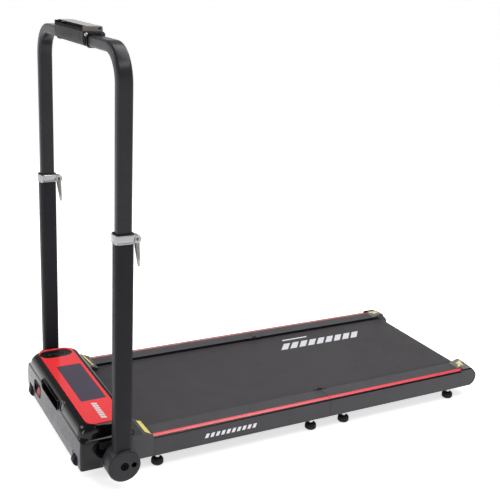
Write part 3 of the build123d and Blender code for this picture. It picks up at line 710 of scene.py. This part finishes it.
def hood_base():
    """The lower shell, its ends slightly barrelled, with a flat ledge for the upper cover."""
    rings = []
    steps = 14
    y0, y1 = hood_low.y, hood_high.y
    for i in range(steps + 1):
        t = i / steps
        swell = math.sin(math.pi * t) ** 0.8
        ring = hood_outline(hood_high.x + 6 * MM * swell, y0 - 2 * MM * swell, y1, (7 + 6 * swell) * MM, 6)
        rings.append(ring_at("Z", hood_low.z + (hood_high.z - hood_low.z) * t, ring))
    piece = lofted("hood_base_shell", rings, gloss_black, close_first=False, close_last=False)
    hollowed(piece, 3 * MM)
    low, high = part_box("switch_bezel")
    lap, reach = 3 * MM, 20 * MM
    cutters = [block((low.x + lap, y0 - reach, low.z + lap), (high.x - lap, y0 + reach, high.z - lap))]
    # room for the transport wheels
    for s in SIDES.values():
        left, right = sorted((s * 201 * MM, s * 241 * MM))
        cutters.append(block((left, y0 - reach, hood_low.z - reach / 2), (right, y0 + reach / 2, 66 * MM)))
    cut(piece, grip_cutter(), *cutters)
    settle(piece, "base", "hood_grey", "hood_base")
    # the front face is a satin grey plate; the rest is polished black
    repaint(piece, hood_grey, lambda f: f.normal.y < -0.93 and f.center.y < y0 + 1.5 * MM)
    finish_normals(piece)
    outer = hood_outline(hood_high.x - 0.5 * MM, y0 + 0.5 * MM, y1 - 0.5 * MM, 7 * MM, 6)
    inner = hood_outline(hood_high.x - 12 * MM, y0 + 11 * MM, y1 - 5 * MM, 34 * MM, 6)
    ledge = plate("hood_ledge", [outer, inner], "Z", hood_high.z - 3 * MM, 3 * MM, gloss_black, 0.8 * MM)
    settle(cut(ledge, grip_cutter()), "base", "hood_grey")


def block(low, high):
    """A box used only as a cutter."""
    ring = [(low[0], low[1]), (high[0], low[1]), (high[0], high[1]), (low[0], high[1])]
    return extruded("cutter", ring, "Z", (low[2], high[2]), gloss_black)


def grip_cutter():
    """The grip slot's outline, long enough to pass through the front walls."""
    reach = 30 * MM
    outline = pill(grip_half.x, grip_half.z, 10, grip_centre)
    return extruded("cutter", outline, "Y", (hood_low.y - reach, hood_low.y + reach), gloss_black)


def hood_cover():
    """The polished upper cover: a soft shoulder up to the flat that carries the panel."""
    rings = []
    steps = 16
    foot = hood_high.z + 4 * MM
    for i in range(steps + 1):
        t = i / steps
        front = hood_low.y + 1.5 * MM + 23.5 * MM * t ** 2.5
        back = cover_high.y - 4 * MM - 13 * MM * t ** 2.2
        ring = hood_outline(263 * MM - 12 * MM * t ** 3.0, front, back, (30 + 4 * t) * MM, 10)
        rings.append(ring_at("Z", foot + (panel_low.z - foot) * (1 - (1 - t) ** 1.5), ring))
    piece = lofted("hood_cover_shell", rings, gloss_black, close_first=False)
    hollowed(piece, 2.6 * MM)
    bore = socket_part("cutter", [(-30, 0), (-30, 17), (30, 17), (30, 0)], gloss_black, 48)
    cut(piece, grip_cutter(), bore)
    settle(piece, "base", "hood_black", "hood_cover")
    finish_normals(piece, 40)
    settle(hood_lip(), "base", "hood_black")
    # the apron behind the hood, just above the belt
    section = mm([(-532.5, 122), (-524, 122), (-515.5, 98.2), (-518.5, 97.4), (-520.5, 98.2), (-530.5, 118)])
    apron = extruded("hood_apron", section, "X", [x * MM for x in (-181, -180, 180, 181)], gloss_black)
    settle(rounded_edges(apron, 0.8 * MM), "base", "hood_black")


def hood_lip():
    """The thin lip at the cover's foot, which flares out over the lower shell."""
    # height, half width, corner radius and inset from the ends, in millimetres
    sections = ((0.1, 256, 24, 12), (0.1, 268.4, 12, 0), (0.9, 269.6, 12.5, 0), (2.2, 269.4, 13, 0),
                (3.4, 267.6, 15, 0), (4.6, 265.2, 20, 0.96), (6.4, 263.4, 26, 1.68), (8.4, 262.6, 29, 2),
                (8.4, 256, 24, 12))
    rings = []
    for z, half, corner, inset in sections:
        front, back = hood_low.y + (inset - 1) * MM, cover_high.y - 4 * MM - inset * MM
        ring = hood_outline(half * MM, front, back, corner * MM, 10)
        rings.append(ring_at("Z", hood_high.z + z * MM, ring))
    lip = cut(lofted("hood_lip", rings, gloss_black, loop=True), grip_cutter())
    finish_normals(lip, 50)
    return lip


def socket_part(name, profile, material, steps):
    """A shape turned round the key socket's own axis, which leans back from the front face."""
    part = turned(name, profile, (0, 0, 0), material, "Z", steps)
    low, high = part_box("key_socket")
    part.data.transform(Matrix.Translation((low + high) / 2) @ Matrix.Rotation(math.radians(75), 4, "X"))
    return part


def hood_front():
    """Grip recess, key socket and switch."""
    rings = []
    for depth, inset in ((5, 0.0), (-1.4, 0.3), (-2.2, 1.2), (-1.8, 2.4), (1, 3.2), (10, 3.8), (24, 5.0),
                         (25.5, 7.5)):
        grow = (1.5 - inset) * MM
        outline = pill(grip_half.x + grow, grip_half.z + grow, 12, grip_centre)
        rings.append(ring_at("Y", hood_low.y + depth * MM, outline))
    rim = lofted("grip_recess", rings, gloss_black, close_first=False)
    settle(rim, "base", "hood_black", "grip_insert")

    profile = [(-7, 12.5), (-7, 16.7), (5.5, 16.9), (7.2, 16.2), (7.6, 15.0), (7.2, 13.6), (5, 12.8)]
    settle(socket_part("key_ring", profile, socket_black, 56), "base", "hood_black", "key_socket")
    profile = [(-9, 0), (-9, 12.6), (-6, 12.6), (-6, 5.2), (-2.5, 4.6), (-2.1, 3.6), (-2.1, 0)]
    settle(socket_part("key_well", profile, recess_black, 56), "base", "hood_black")

    softened("switch_bezel", "base", "hood_black", recess_black, 0.8 * MM, 3)
    rocker = softened("power_rocker", "rocker", "rocker_red", rocker_red, 0.9 * MM, 3)
    # its face stands proud of the bezel, and is lower than its root so that it can turn
    depths = [v.co.y for v in rocker.data.vertices]
    middle = (min(depths) + max(depths)) / 2
    axis_z = joint_at["power_switch"].z
    for v in rocker.data.vertices:
        if v.co.y < middle:
            v.co.y -= 3.2 * MM
            v.co.z -= math.copysign(1.4 * MM, v.co.z - axis_z)


def hood_panel():
    """Red panel, window, touch pad with its keys, and the panel's plain bars."""
    glass_at, glass_half = middle_and_half("display_window")
    pad_at, pad_half = middle_and_half("control_pad")
    pad_y, pad_length = pad_at.y - 2 * MM, pad_half.y + 3.5 * MM

    def window(gap, corner):
        return rounded_rectangle(glass_half.x + gap, glass_half.y + gap, corner, 5, glass_at)

    def pad_outline(grow):
        return [(pad_at.x + v, pad_y + u) for u, v in pill(pad_length + grow, pad_half.x + grow, 16)]

    panel_at, panel_half = middle_and_half("top_panel")
    outer = rounded_rectangle(panel_half.x, panel_half.y, 29 * MM, 14, panel_at)
    outlines = [outer, window(0.3 * MM, 3 * MM), pad_outline(0.3 * MM)]
    panel = plate("red_panel", outlines, "Z", panel_low.z, 2 * panel_half.z, panel_red, 1.0 * MM)
    settle(panel, "base", "panel_red", "top_panel")
    bottom, thickness = glass_at.z - glass_half.z, 2 * glass_half.z
    glass = plate("smoked_window", [window(0, 2.8 * MM)], "Z", bottom, thickness, window_gloss, 0.5 * MM)
    settle(glass, "base", "window", "display_window")

    rings = []
    for z, inset in ((-7, 0), (-2.2, 0), (-1.4, 0.5), (-1.2, 1.4), (-1.5, 2.6), (-2.0, 4), (-2.2, 7)):
        rings.append(ring_at("Z", panel_high.z + z * MM, pad_outline(-inset * MM)))
    settle(lofted("touch_pad", rings, pad_gloss), "base", "pad_black", "control_pad")
    profile = [(-2.4, 6.4), (-1.9, 6.8), (-1.7, 6.4), (-1.9, 5.6), (-1.95, 0)]
    for i, y in enumerate((-20, 0, 20)):
        place = (pad_at.x, pad_y + y * MM, panel_high.z)
        settle(turned(f"touch_key_{i}", profile, place, matt_black, "Z", 32), "base", "pad_black")

    bars = slanted_bars(138 * MM, 236 * MM, -603 * MM, -588 * MM, 7, 4 * MM)
    for i, bar in enumerate(bars):
        piece = plate(f"panel_bar_{i}", [bar], "Z", panel_high.z + 0.02 * MM, 0.15 * MM, decal_white)
        settle(piece, "base", "panel_red")


# ---- transport wheels
def transport_wheels():
    _, half = middle_and_half("transport_wheel_right")
    radius = half.z / MM
    profile = [(-10, 4.1), (-11, 7), (-8.5, 8.5), (-8.5, 12), (-10, 13.5), (-9.6, radius - 1.6),
               (-8, radius), (-1.4, radius), (-0.9, radius - 0.8)]
    profile += [(-x, r) for x, r in reversed(profile)]
    for side, s in SIDES.items():
        place = joint_at[f"transport_wheel_{side}_spin"]
        wheel = turned(f"wheel_{side}_tyre", profile, place, matt_black, "X", 56)
        settle(wheel, f"wheel_{side}", "wheel_plastic", f"transport_wheel_{side}")


# ---- handle
def lower_handle():
    for side, s in SIDES.items():
        upright(side)
        pivot_disc(s, side)
    softened("pivot_bolts", "base", "bolt_black", recess_black, 0.4 * MM)


def upright(side):
    """One lower tube, open at its top."""
    middle, half = middle_and_half(f"lower_tube_{side}")
    bottom, top = lower_low.z, lower_high.z
    wall = 1.8 * MM
    rings = []
    for z, inset in ((bottom, 0.0), (top - 1.0 * MM, 0.0), (top - 0.3 * MM, 0.3 * MM), (top, 0.9 * MM),
                     (top - 0.4 * MM, wall), (bottom + 0.01, wall)):
        ring = rounded_rectangle(half.x - inset, half.y - inset, 10 * MM - inset, 8, middle)
        rings.append(ring_at("Z", z, ring))
    tube = lofted(f"lower_upright_{side}", rings, upright_paint)
    settle(tube, "handle", "tube_paint", f"lower_tube_{side}")


def pivot_disc(s, side):
    """The disc at a tube's foot, with a recess for the bolt and a pin hole beside it."""
    middle, half = middle_and_half(f"pivot_disc_{side}")
    radius, thick = half.z / MM, 2 * half.x / MM
    outer = middle.x + s * half.x
    # depth below the outer face, and radius
    profile = ((thick, 5.1), (thick, radius - 1.2), (thick - 1.2, radius), (4, radius), (2.2, radius - 0.5),
               (0.8, radius - 1.7), (0.1, radius - 3.6), (0, radius - 5), (0, 12.2), (0.7, 11.2),
               (9.2, 11.0), (9.2, 5.1))
    profile = [(-s * depth, r) for depth, r in profile]
    centre = Vector((outer, middle.y, middle.z))
    disc = turned(f"pivot_drum_{side}", profile, centre, tube_paint, steps=72, loop=True)
    profile = [(-s * 20, 0), (-s * 20, 7.5), (s * 5, 7.5), (s * 5, 0)]
    pin_place = centre + Vector((0, PIN_HOLE_Y, 0))
    cut(disc, turned("cutter", profile, pin_place, tube_paint, steps=40))
    # the walls of both recesses are painted black as the deep shadow they lie in
    repaint(disc, recess_black, lambda f: in_recess(f.center, centre))
    finish_normals(disc, 35)
    settle(disc, "handle", "tube_paint", f"pivot_disc_{side}")


def in_recess(point, centre):
    """Whether a point of a pivot disc is inside its bolt recess or its pin hole."""
    bolt = math.hypot(point.y - centre.y, point.z - centre.z)
    pin = math.hypot(point.y - centre.y - PIN_HOLE_Y, point.z - centre.z)
    deep = abs(centre.x) - abs(point.x) > 0.8 * MM
    return deep and (bolt < 11.6 * MM or pin < 7.7 * MM)


def tube_rings(sections, half, s, bottom, steps):
    """Rings round an upright: each section is (height, growth, corner radius) in millimetres."""
    rings = []
    for z, grow, corner in sections:
        ring = rounded_rectangle((half[0] + grow) * MM, (half[1] + grow) * MM, corner * MM, steps,
                                 (s * tube_x, tube_y))
        rings.append(ring_at("Z", bottom + z * MM, ring))
    return rings


def bushes():
    """Black rings where the upper tubes go into the lower ones."""
    sections = ((1.0, -2.4, 9.6), (1.05, -1.4, 10.6), (1.3, -1.0, 11), (1.8, -1.0, 11), (2.3, -1.8, 10.2),
                (2.5, -3.2, 9.2), (2.4, -5.4, 8.4), (1.9, -5.9, 8.1), (-45, -5.9, 8.1), (-45, -4.2, 8.2),
                (0.6, -4.2, 8.2))
    pieces = []
    for s in SIDES.values():
        rings = tube_rings(sections, (20, 26), s, lower_high.z, 6)
        pieces.append(lofted("bush", rings, matt_black, loop=True))
    settle(joined(pieces, "upright_bushes"), "handle", "bush_plastic", "tube_bushes")


def clamps():
    """Turned collars with a tightening ear, and the lever on each."""
    pivot = joint_at["cam_lever_right_swing"]
    span = (collar_high.z - collar_low.z) / MM
    profile = ((0.0, 0.6), (0.02, 2.2), (0.08, 3.0), (0.20, 3.0), (0.24, 2.4), (0.28, 3.0), (0.92, 3.0),
               (0.98, 2.2), (1.0, 0.6), (1.0, 0.05), (0.0, 0.05))
    sections = [(span * t, grow, 10 + grow) for t, grow in profile]
    pieces = []
    for s in SIDES.values():
        rings = tube_rings(sections, (18, 24), s, collar_low.z, 8)
        pieces.append(lofted("collar", rings, collar_silver, loop=True))
        for inner in (-9.0, 5.6):
            pieces.append(clamp_ear(s * tube_x + inner * MM, pivot))
    settle(joined(pieces, "upright_collars"), "handle", "clamp_silver", "clamp_collars")
    end = [(9.1, 2.5), (9.1, 3.8), (9.6, 3.8), (10.0, 3.2), (10.0, 1.9), (10.6, 1.5), (10.6, 0)]
    profile = [(-x, r) for x, r in reversed(end)] + end
    for side, s in SIDES.items():
        pivot = joint_at[f"cam_lever_{side}_swing"]
        body = f"lever_{side}"
        settle(lever_blade(f"lever_blade_{side}", pivot), body, "clamp_silver", f"cam_lever_{side}")
        settle(lever_insert(f"lever_insert_{side}", pivot), body, "clamp_silver")
        place = (s * tube_x, pivot.y, pivot.z)
        pin = turned(f"lever_pin_{side}", profile, place, steel_black, "X", 28)
        settle(pin, "handle", "zinc_steel")


def clamp_ear(x, pivot):
    """One cheek of the clamp: a tab from the collar that ends round the lever's pin."""
    root, neck = tube_y + 25 * MM, pivot.y - 2 * MM
    outline = [(root, pivot.z - 9 * MM), (neck, pivot.z - 10 * MM)]
    outline += arc((pivot.y, pivot.z), 10.6 * MM, -95, 95, 16)
    outline += [(neck, pivot.z + 10 * MM), (root, pivot.z + 12 * MM)]
    ear = plate("ear", [outline], "X", x, 3.4 * MM, cast_silver)
    return apply_modifiers(rounded_edges(ear, 0.6 * MM))


def lever_blade(name, pivot):
    """The lever, a row of rounded sections from its knuckle to its tip."""
    # depth and height of the middle, half thickness and half width, all in millimetres
    sections = [(0.0, 6.4, 2.0, 3.4), (0.4, 4.8, 5.2, 4.8), (0.8, 1.0, 7.0, 5.2), (1.2, -5.0, 7.2, 5.3),
                (1.8, -12, 7.0, 5.3), (2.6, -24, 6.4, 5.3), (3.8, -36, 5.7, 5.3), (5.2, -48, 4.8, 5.2),
                (6.4, -60, 3.8, 5.0), (7.2, -69, 3.0, 4.4), (7.4, -72, 2.4, 3.8), (7.4, -73, 1.2, 2.4)]
    rings = []
    for depth, height, thick, wide in sections:
        ring = rounded_rectangle(wide * MM, thick * MM, min(thick, wide) * 0.6 * MM, 5)
        rings.append([(pivot.x + u, pivot.y + depth * MM + v, pivot.z + height * MM) for u, v in ring])
    blade = lofted(name, rings, cast_silver)
    subdivision = blade.modifiers.new("smooth", "SUBSURF")
    subdivision.levels = subdivision.render_levels = 1
    return blade


def lever_insert(name, pivot):
    """A darker band on both flanks of the lever: a thin plate that stands just proud of them."""
    outline = mm([(-4.2, -11), (5.0, -11), (6.2, -24), (7.2, -40), (7.4, -54), (4.0, -56), (0.4, -40),
                  (-2.2, -24)])
    outline = [(pivot.y + y, pivot.z + z) for y, z in outline]
    half = 5.45 * MM
    return rounded_edges(extruded(name, outline, "X", (pivot.x - half, pivot.x + half), zinc_dark), 0.3 * MM)


def upper_handle():
    """The inverted U of flat tube, swept with smooth bends."""
    half_w, half_d, corner, bend = 14 * MM, 20 * MM, 8 * MM, 80 * MM
    bar_z = handle_high.z - half_w
    straight = bar_z - bend - handle_low.z
    # x, z and direction in degrees along the middle of one half
    line = [(-tube_x, handle_low.z + straight * t, 90.0) for t in (0, 0.25, 0.5, 0.75, 0.97)]
    steps = 22
    turn = arc((-tube_x + bend, bar_z - bend), bend, 180, 90, steps)
    line += [(x, z, 90 - 90 * i / steps) for i, (x, z) in enumerate(turn)]
    line += [(-x, z, -a) for x, z, a in reversed(line)]
    section = rounded_rectangle(half_w, half_d, corner, 7)
    rings = []
    for x, z, a in line:
        normal = Vector((-math.sin(math.radians(a)), 0, math.cos(math.radians(a))))
        rings.append([Vector((x, tube_y, z)) + normal * u + Vector((0, v, 0)) for u, v in section])
    tube = lofted("handle_loop", rings, tube_paint)
    settle(tube, "upper_handle", "tube_paint", "handle_tube")


# ---- console
def console_profile(inset=0.0):
    """The console body's side outline, soft under the bar: (y, z) pairs, with the inset in millimetres."""
    front, back = console_low.y / MM + inset, console_high.y / MM - inset
    bottom, top = console_low.z / MM + inset, 1162.6 - inset
    outline = [(front, top), (front, 1149)]
    outline += arc((front + 17, bottom + 20), 18.5 - inset * 0.3, 205, 262, 6)
    outline += arc((back - 17, bottom + 18), 17.6 - inset * 0.3, 280, 352, 6)
    outline += [(back, 1158), (back - 4, top)]
    return mm(outline)


def console():
    half, overrun = console_high.x, 20 * MM
    ends = ((-half, 0.8), (-half + 1 * MM, 0.0), (half - 1 * MM, 0.0), (half, 0.8))
    rings = [ring_at("X", x, console_profile(inset)) for x, inset in ends]
    body = lofted("console_shell", rings, console_dark, sharp=40)
    cut(body, bar_cutter(-half - overrun, half + overrun))
    finish_normals(body, 30)
    settle(rounded_edges(body, 0.8 * MM, 2, 40), "upper_handle", "console_plastic", "console_body")
    top = softened("console_top", "upper_handle", "console_top", console_silver, 0.8 * MM, 3)
    groove = console_low.y + 10.5 * MM
    # the lip under the groove is painted black as the groove's shadow
    repaint(top, recess_black, lambda f: f.center.y < groove and f.center.z < 1174 * MM)
    # the end faces of the top take the darker copy of its silver, as painted shade on the sides away from
    # the light
    repaint(top, console_shaded_grey, lambda f: abs(f.normal.x) > 0.8 and f.center.y >= groove)
    for side, s in SIDES.items():
        console_end(s, side, s * half)


def bar_cutter(x0, x1):
    """The handle's bar, a little fuller, as a cutter between two places across."""
    bar = rounded_rectangle(20.2 * MM, 14.2 * MM, 8 * MM, 6, (tube_y, handle_high.z - 14 * MM))
    return extruded("cutter", bar, "X", (x0, x1), matt_black)


def console_end(s, side, end):
    """The cap on one end of the console, the ring round the bar, and the screw in its boss."""
    sections = ((-0.5, 1.4), (2.6, 1.2), (4.0, 2.2), (4.4, 4.0))
    rings = [ring_at("X", end + s * out * MM, console_profile(inset)) for out, inset in sections]
    cap = lofted(f"console_cap_{side}", rings, matt_black)
    rings = []
    for out, grow in ((3, 1.8), (7.4, 1.8), (8.6, 1.2), (9.0, 0.3), (8.6, -0.2), (3, -0.2)):
        ring = rounded_rectangle((21.6 + grow) * MM, (15.6 + grow) * MM, 10 * MM, 7,
                                 (tube_y, handle_high.z - 14 * MM))
        rings.append(ring_at("X", end + s * out * MM, ring))
    ring = lofted(f"console_ring_{side}", rings, gloss_black, loop=True)
    cut(cap, bar_cutter(end - s * 10 * MM, end + s * 20 * MM))
    finish_normals(cap, 30)
    settle(cap, "upper_handle", "console_plastic", *(["console_end_caps"] if s > 0 else []))
    settle(ring, "upper_handle", "console_plastic")
    place = (end, console_low.y + 6.5 * MM, 1156 * MM)
    profile = [(3, 0), (3, 6.0), (4.9, 5.6), (5.2, 5.0), (4.4, 4.4), (4.2, 0)]
    profile = [(s * x, r) for x, r in profile]
    boss = turned(f"console_boss_{side}", profile, place, matt_black, "X", 32)
    settle(boss, "upper_handle", "console_plastic")
    profile = [(4.0, 0), (4.0, 4.5), (5.8, 4.3), (6.8, 3.3), (6.9, 1.7), (5.6, 1.5), (5.6, 0)]
    profile = [(s * x, r) for x, r in profile]
    settle(turned(f"console_screw_{side}", profile, place, zinc, "X", 28), "upper_handle", "zinc_steel")


# ---- the rest of the CAD nodes get materials
def dress_cad_nodes():
    finishes = {
        frame_black: ["front_frame", "rear_frame", "front_roller_mounts", "wheel_brackets",
                      "pivot_brackets"],
        board_laminate: ["front_deck_board", "rear_deck_board"],
        rubber: ["front_deck_cushions", "drive_belt"],
        zinc: ["fold_hinge_pins", "rear_roller_axle", "wheel_axles", "lever_pins"],
        roller_steel: ["front_roller", "rear_roller", "motor_rotor"],
        steel_black: ["motor_housing"],
        circuit_green: ["display_board"],
        cast_silver: ["motor_controller"],
        matt_black: ["mains_inlet"],
    }
    for material, nodes in finishes.items():
        for node in nodes:
            mesh = frame["nodes"][node].data
            mesh.materials.clear()
            mesh.materials.append(material)


# ---- studio
def studio_world():
    """A white band round the horizon under a dimmer ceiling."""
    world = bpy.data.worlds.new("studio")
    bpy.context.scene.world = world
    world.use_nodes = True
    tree = world.node_tree
    direction = tree.nodes.new("ShaderNodeTexCoord")
    split = tree.nodes.new("ShaderNodeSeparateXYZ")
    tree.links.new(direction.outputs["Generated"], split.inputs[0])
    ramp = tree.nodes.new("ShaderNodeValToRGB")
    band, ceiling = ramp.color_ramp.elements
    band.position, band.color = 0.12, (1.0, 1.0, 1.0, 1)
    ceiling.position, ceiling.color = 0.34, (0.30, 0.30, 0.31, 1)
    tree.links.new(split.outputs["Z"], ramp.inputs["Fac"])
    tree.links.new(ramp.outputs["Color"], tree.nodes["Background"].inputs["Color"])
    tree.nodes["Background"].inputs["Strength"].default_value = 1.0


def softbox(name, place, target, size, power):
    light = bpy.data.lights.new(name, "AREA")
    light.shape = "RECTANGLE"
    light.size, light.size_y = size
    light.energy = power
    lamp = bpy.data.objects.new(name, light)
    lamp.location = place
    lamp.rotation_euler = (Vector(target) - Vector(place)).to_track_quat("-Z", "Y").to_euler()
    bpy.context.scene.collection.objects.link(lamp)


def studio():
    circle = arc((0, 0), 60, 0, 360, 64)[:-1]
    floor = extruded("floor", circle, "Z", (-20 * MM, -0.2 * MM), floor_material())
    studio_world()
    softbox("key", (-1.6, -3.2, 2.6), (0, -0.3, 0.3), (1.6, 1.6), 36)
    softbox("front_strip", (0.9, -3.6, 1.1), (0.2, -0.5, 0.5), (0.5, 2.0), 20)
    softbox("top", (-0.2, 1.1, 3.4), (0, 0.1, 0), (2.6, 2.0), 76)
    softbox("edge", (1.75, 0.5, 3.2), (0.3, -0.3, 0.1), (2.0, 0.6), 26)


def camera():
    lens = bpy.data.cameras.new("camera")
    lens.lens = 63.27
    lens.sensor_width = 36.0
    lens.clip_end = 200.0
    eye = bpy.data.objects.new("camera", lens)
    right, up = Vector((0.47021, 0.88112, 0.05017)), Vector((-0.29145, 0.10137, 0.95120))
    forward = Vector((-0.83304, 0.46189, -0.30447))
    place = Vector((2.2532, -1.2966, 1.3287))
    turn = Matrix((right, up, -forward)).transposed()
    eye.matrix_world = Matrix.Translation(place) @ turn.to_4x4()
    bpy.context.scene.collection.objects.link(eye)
    bpy.context.scene.camera = eye
    bpy.context.scene.view_settings.view_transform = "Standard"


walking_belt()
belt_marks()
deck()
trims()
deck_marks()
feet()
hood_base()
hood_cover()
hood_front()
hood_panel()
transport_wheels()
lower_handle()
bushes()
clamps()
upper_handle()
console()
dress_cad_nodes()
studio()
camera()
